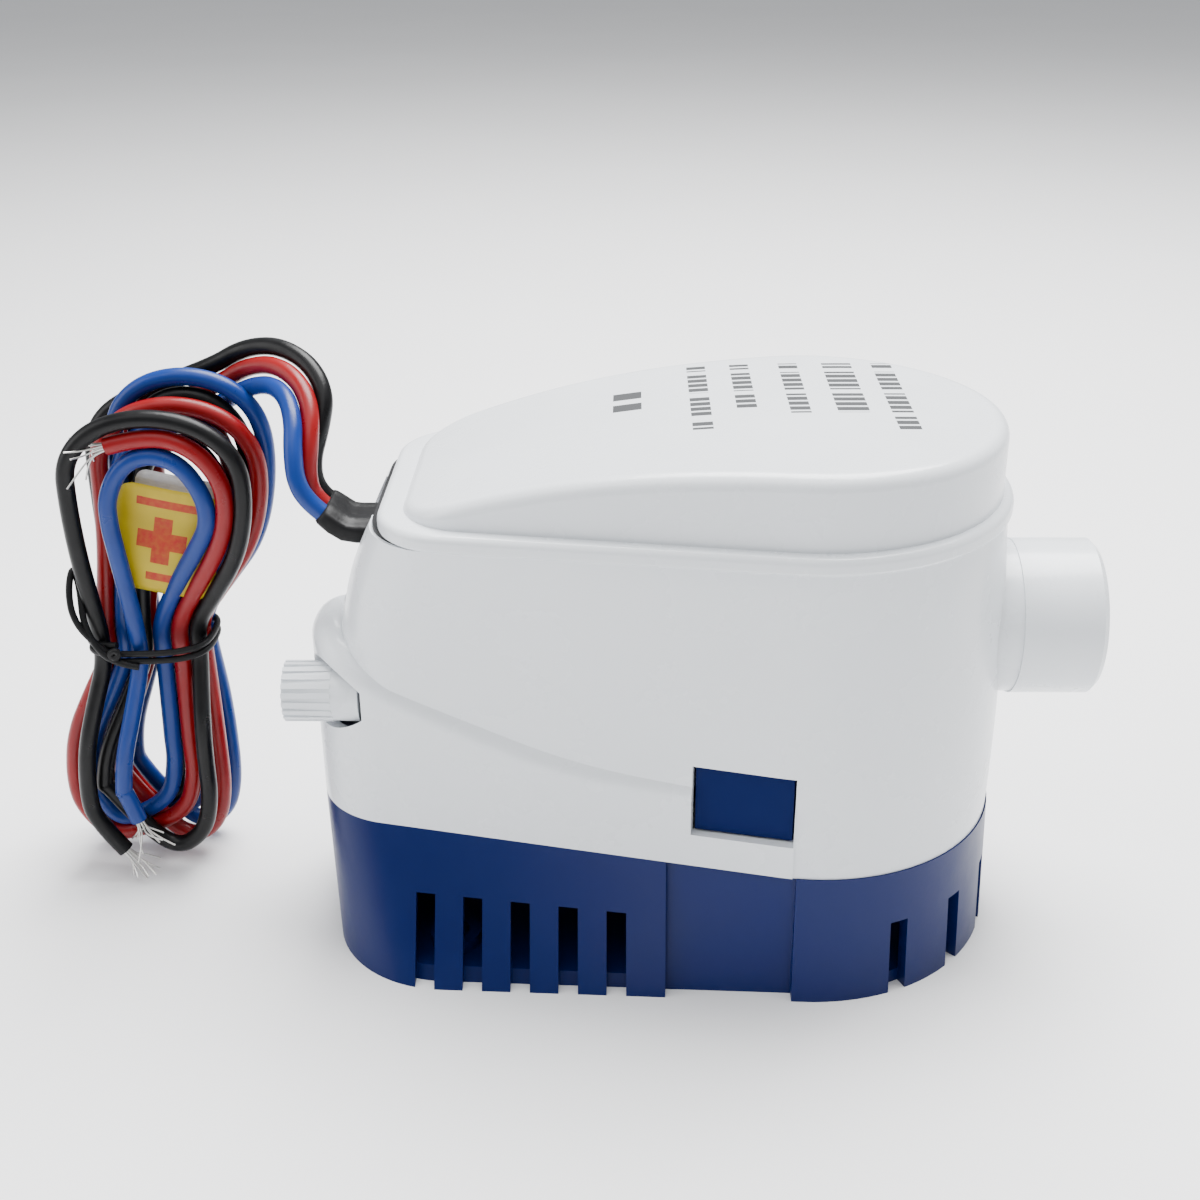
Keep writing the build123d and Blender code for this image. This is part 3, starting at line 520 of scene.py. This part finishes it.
# ---- Materials ---------------------------------------------------------------------------------
class Nodes:
    """Short way of building one material's nodes."""

    def __init__(self, name):
        self.material = bpy.data.materials.new(name)
        self.material.use_nodes = True
        self.tree = self.material.node_tree
        self.shader = self.tree.nodes["Principled BSDF"]
        coordinates = self.tree.nodes.new("ShaderNodeTexCoord")
        self.place = coordinates.outputs["Object"]

    def add(self, kind, **values):
        node = self.tree.nodes.new(kind)
        for key, value in values.items():
            setattr(node, key, value)
        return node

    def link(self, source, target):
        self.tree.links.new(source, target)

    def place_parts(self):
        parts = self.add("ShaderNodeSeparateXYZ")
        self.link(self.place, parts.inputs[0])
        return parts.outputs

    def noise(self, scale, detail=3.0, rough=0.5, stretch=None):
        node = self.add("ShaderNodeTexNoise")
        node.inputs["Scale"].default_value = scale
        node.inputs["Detail"].default_value = detail
        node.inputs["Roughness"].default_value = rough
        place = self.place
        if stretch:
            mapping = self.add("ShaderNodeMapping")
            mapping.inputs["Scale"].default_value = stretch
            self.link(place, mapping.inputs["Vector"])
            place = mapping.outputs["Vector"]
        self.link(place, node.inputs["Vector"])
        return node.outputs["Fac"]

    def math(self, operation, *values):
        """Math node of these values, each a number or a socket."""
        node = self.add("ShaderNodeMath", operation=operation)
        for socket, value in zip(node.inputs, values):
            if isinstance(value, (int, float)):
                socket.default_value = value
            else:
                self.link(value, socket)
        return node.outputs[0]

    def spread(self, value, low, high):
        """Stretches a noise's value to the range from low to high."""
        node = self.add("ShaderNodeMapRange")
        self.link(value, node.inputs["Value"])
        node.inputs["From Min"].default_value = NOISE_ENDS[0]
        node.inputs["From Max"].default_value = NOISE_ENDS[1]
        node.inputs["To Min"].default_value = low
        node.inputs["To Max"].default_value = high
        return node.outputs["Result"]

    def blend(self, share, first, second):
        """Mix of two colours, each a tuple or a socket."""
        node = self.add("ShaderNodeMix", data_type="RGBA")
        factor = next(i for i in node.inputs if i.enabled and i.type == "VALUE")
        self.link(share, factor)
        colors = [i for i in node.inputs if i.enabled and i.type == "RGBA"]
        for socket, value in zip(colors, (first, second)):
            if isinstance(value, tuple):
                socket.default_value = (*value, 1.0)
            else:
                self.link(value, socket)
        return next(o for o in node.outputs if o.enabled)

    def bump(self, height, strength, distance=0.0002):
        node = self.add("ShaderNodeBump")
        node.inputs["Strength"].default_value = strength
        node.inputs["Distance"].default_value = distance
        self.link(height, node.inputs["Height"])
        self.link(node.outputs["Normal"], self.shader.inputs["Normal"])

    def color(self, socket):
        self.link(socket, self.shader.inputs["Base Color"])

    def tint(self, noise, first, second):
        """Base colour that drifts between two colours with a noise."""
        self.color(self.blend(self.spread(noise, 0.0, 1.0), first, second))

    def rough(self, noise, low, high):
        """Roughness that drifts from low to high with a noise."""
        self.link(self.spread(noise, low, high), self.shader.inputs["Roughness"])

    def set(self, **values):
        for name, value in values.items():
            self.shader.inputs[name.replace("_", " ")].default_value = value


def scaled(color, factor):
    return tuple(min(c * factor, 1.0) for c in color)


def moulded(name, color, rough=0.28, grain=1400, dirt=0.93, coat=0.0):
    """Injection-moulded plastic: slow colour drift, fine texture and uneven gloss."""
    nodes = Nodes(name)
    nodes.tint(nodes.noise(scale=14.0, detail=4.0), scaled(color, dirt), color)
    nodes.rough(nodes.noise(scale=55.0, detail=5.0, rough=0.6), rough - 0.05, rough + 0.07)
    nodes.bump(nodes.noise(scale=grain, detail=2.0), strength=0.05)
    nodes.set(Coat_Weight=coat, IOR=1.5)
    return nodes


def white_plastic(name):
    return moulded(name, WHITE, rough=0.26, dirt=0.955, coat=0.15)


def blue_plastic(name, factor=1.0, gloss=0.22, rough=0.36):
    # A factor below 1 darkens the blue as painted shade; the tabs use it for their recessed window.
    nodes = moulded(name, scaled(BLUE, factor), rough=rough, dirt=0.82)
    nodes.set(Specular_IOR_Level=gloss)
    return nodes.material


def dull_plastic(name, color, rough=0.5):
    return moulded(name, color, rough=rough, grain=900, dirt=0.85).material


def band(nodes, value, middle, half):
    """1 where value, in metres, lies within half of middle, in millimetres."""
    off = nodes.math("ABSOLUTE", nodes.math("SUBTRACT", value, middle * MM))
    return nodes.math("LESS_THAN", off, half * MM)


def rectangle(nodes, across, up, middle, half):
    """1 inside a rectangle; middle and half hold its sizes across and up."""
    return nodes.math("MULTIPLY", band(nodes, across, middle[0], half[0]),
                      band(nodes, up, middle[1], half[1]))


def waves_above(nodes, value, pitch, shift, cut):
    """1 where a sine wave along value is above cut."""
    phase = nodes.math("MULTIPLY_ADD", value, FULL_TURN / (pitch * MM), shift)
    return nodes.math("GREATER_THAN", nodes.math("SINE", phase), cut)


def cap_material():
    """White cap with plain printed bars in five columns on its flat top."""
    nodes = white_plastic("cap_white")
    x, y, z = nodes.place_parts()
    printed = 0.0
    for middle, width, length, shift in PRINT_COLUMNS:
        column = (middle, PRINT_FAR_Y - length / 2)
        inside = rectangle(nodes, x, y, column, (width / 2, length / 2))
        bars = nodes.math("MULTIPLY", waves_above(nodes, y, BAR_PITCH, shift, BAR_CUT),
                          waves_above(nodes, y, WORD_PITCH, 0.0, WORD_CUT))
        printed = nodes.math("MAXIMUM", printed, nodes.math("MULTIPLY", inside, bars))
    for middle in SQUARE_YS:
        square = rectangle(nodes, x, y, (SQUARE_X, middle), SQUARE_HALF)
        printed = nodes.math("MAXIMUM", printed, square)
    high = nodes.math("GREATER_THAN", z, PRINT_LOWEST_Z * MM)
    inked = nodes.math("MULTIPLY", nodes.math("MULTIPLY", printed, high), PRINT_STRENGTH)
    plain = nodes.shader.inputs["Base Color"].links[0].from_socket
    nodes.color(nodes.blend(inked, plain, PRINT_INK))
    return nodes.material


def lead_material(lead):
    """Glossy PVC insulation with faint extrusion texture."""
    nodes = Nodes("pvc_" + lead)
    color = LEAD_COLORS[lead]
    nodes.tint(nodes.noise(scale=90.0), scaled(color, 0.8), color)
    nodes.rough(nodes.noise(scale=260.0, detail=4.0), low=0.26, high=0.42)
    nodes.bump(nodes.noise(scale=1100.0), strength=0.12)
    nodes.set(Specular_IOR_Level=LEAD_GLOSS[lead])
    return nodes.material


def rubber(name, shade, rough, grain):
    """Dull black rubber or cord with a coarse texture."""
    nodes = Nodes(name)
    color = (shade, shade, shade * 1.1)
    nodes.tint(nodes.noise(scale=120.0), scaled(color, 0.7), scaled(color, 1.4))
    nodes.rough(nodes.noise(scale=200.0, detail=4.0), rough - 0.08, rough + 0.12)
    nodes.bump(nodes.noise(scale=grain), strength=0.25, distance=0.0003)
    nodes.set(Specular_IOR_Level=0.2)
    return nodes.material


def metal(name, color, rough=0.3, stretch=(1, 1, 14)):
    """Bare metal with fine streaks round or along it."""
    nodes = Nodes(name)
    streaks = nodes.noise(scale=350.0, detail=4.0, rough=0.6, stretch=stretch)
    nodes.tint(streaks, scaled(color, 0.78), color)
    nodes.rough(nodes.noise(scale=80.0, detail=5.0), rough - 0.08, rough + 0.12)
    nodes.bump(streaks, strength=0.1)
    nodes.set(Metallic=1.0)
    return nodes.material


def tinned_copper():
    made = bpy.data.materials.get("tinned_copper")
    return made or metal("tinned_copper", TIN)


def paper():
    """Uncoated white card with fine fibres."""
    nodes = Nodes("tag_paper")
    fibres = nodes.noise(scale=700.0, detail=5.0, rough=0.6, stretch=(1, 1, 3))
    nodes.tint(fibres, *PAPER_COLORS)
    nodes.rough(nodes.noise(scale=150.0), low=0.45, high=0.6)
    nodes.bump(fibres, strength=0.1)
    return nodes.material


def tag_material():
    """Yellow coated card with a red plus and a plain red bar above and below it."""
    nodes = Nodes("tag_card")
    x, _, z = nodes.place_parts()
    long_half, short_half = PLUS_HALF
    level = rectangle(nodes, x, z, (PLUS_X, 0.0), (long_half, short_half))
    upright = rectangle(nodes, x, z, (PLUS_X, 0.0), (short_half, long_half))
    red = nodes.math("MAXIMUM", level, upright)
    for height, half in TAG_BARS:
        bar = rectangle(nodes, x, z, (TAG_BAR_X, height), (half, TAG_BAR_HALF))
        red = nodes.math("MAXIMUM", red, bar)
    drift = nodes.spread(nodes.noise(scale=120.0, detail=4.0), 0.0, 1.0)
    wear = nodes.spread(nodes.noise(scale=900.0), 0.82, 1.0)
    yellow = nodes.blend(drift, *TAG_YELLOWS)
    nodes.color(nodes.blend(nodes.math("MULTIPLY", red, wear), yellow, TAG_RED))
    nodes.rough(nodes.noise(scale=180.0), low=0.3, high=0.45)
    nodes.bump(nodes.noise(scale=400.0), strength=0.1)
    return nodes.material


def dress(names, material):
    """Gives CAD nodes one material."""
    for name in names:
        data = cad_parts[name].data
        data.materials.clear()
        data.materials.append(material)


def dress_outside():
    dress(["upper_housing"], white_plastic("housing_white").material)
    dress(["discharge_nozzle", "test_knob", "float_axle"], white_plastic("port_white").material)
    dress(["top_cap"], cap_material())
    dress(["strainer_base"], blue_plastic("base_blue"))
    # The tabs' blue is scaled down to 0.8 as painted shade of the recessed window they sit in.
    dress(["front_tab", "back_tab"], blue_plastic("tab_blue_painted_shade", factor=0.8, gloss=0.08, rough=0.5))


def dress_inside():
    seals = ["cap_gasket", "nozzle_oring", "shaft_seal"]
    mouldings = ["volute_casing", "volute_cover", "seal_plate", "float_bracket", "float_block"]
    dress(seals, rubber("seal_rubber", SEAL_RUBBER, rough=0.5, grain=1500))
    dress(mouldings, dull_plastic("inner_white", INNER_WHITE))
    dress(["impeller"], dull_plastic("impeller_red", IMPELLER_RED, rough=0.4))
    dress(["switch_module", "brush_cap"], dull_plastic("black_plastic", BLACK_PLASTIC, rough=0.45))
    dress(["brushes"], dull_plastic("graphite", GRAPHITE, rough=0.35))
    dress(["volute_screws", "brush_springs", "motor_shaft"], metal("steel", STEEL, rough=0.24))
    dress(["motor_can", "armature_core"], metal("zinc", STEEL, rough=0.34))
    dress(["motor_magnets", "float_magnet"], metal("ferrite", FERRITE, rough=0.6))
    dress(["lower_bearing", "upper_bearing", "impeller_nut"], metal("brass", BRASS, rough=0.28))
    dress(["commutator", "armature_windings"], metal("copper", COPPER, stretch=(1, 1, 30)))


# ---- Room --------------------------------------------------------------------------------------
def build_floor(bm):
    bmesh.ops.create_grid(bm, x_segments=FLOOR_CUTS, y_segments=FLOOR_CUTS, size=FLOOR_HALF)


def add_floor():
    floor = bpy.data.objects.new("floor", mesh_from("floor", build_floor))
    bpy.context.scene.collection.objects.link(floor)
    nodes = Nodes("floor_pale")
    nodes.tint(nodes.noise(scale=6.0), *FLOOR_COLORS)
    nodes.set(Roughness=0.7)
    floor.data.materials.append(nodes.material)


def add_light(name, place, size, power):
    data = bpy.data.lights.new(name, "AREA")
    data.shape = "RECTANGLE"
    data.size, data.size_y = size
    data.energy = power
    light = bpy.data.objects.new(name, data)
    bpy.context.scene.collection.objects.link(light)
    light.location = place
    towards = Vector(LIGHT_AIM) - Vector(place)
    light.rotation_euler = towards.to_track_quat("-Z", "Y").to_euler()


def add_world():
    world = bpy.data.worlds.new("studio")
    world.use_nodes = True
    background = world.node_tree.nodes["Background"]
    background.inputs["Color"].default_value = WORLD_COLOR
    background.inputs["Strength"].default_value = WORLD_STRENGTH
    bpy.context.scene.world = world


add_camera()
add_leads()
add_boot()
add_tie()
add_tag()
dress_outside()
dress_inside()
add_floor()
add_world()
for light in LIGHTS:
    add_light(*light)
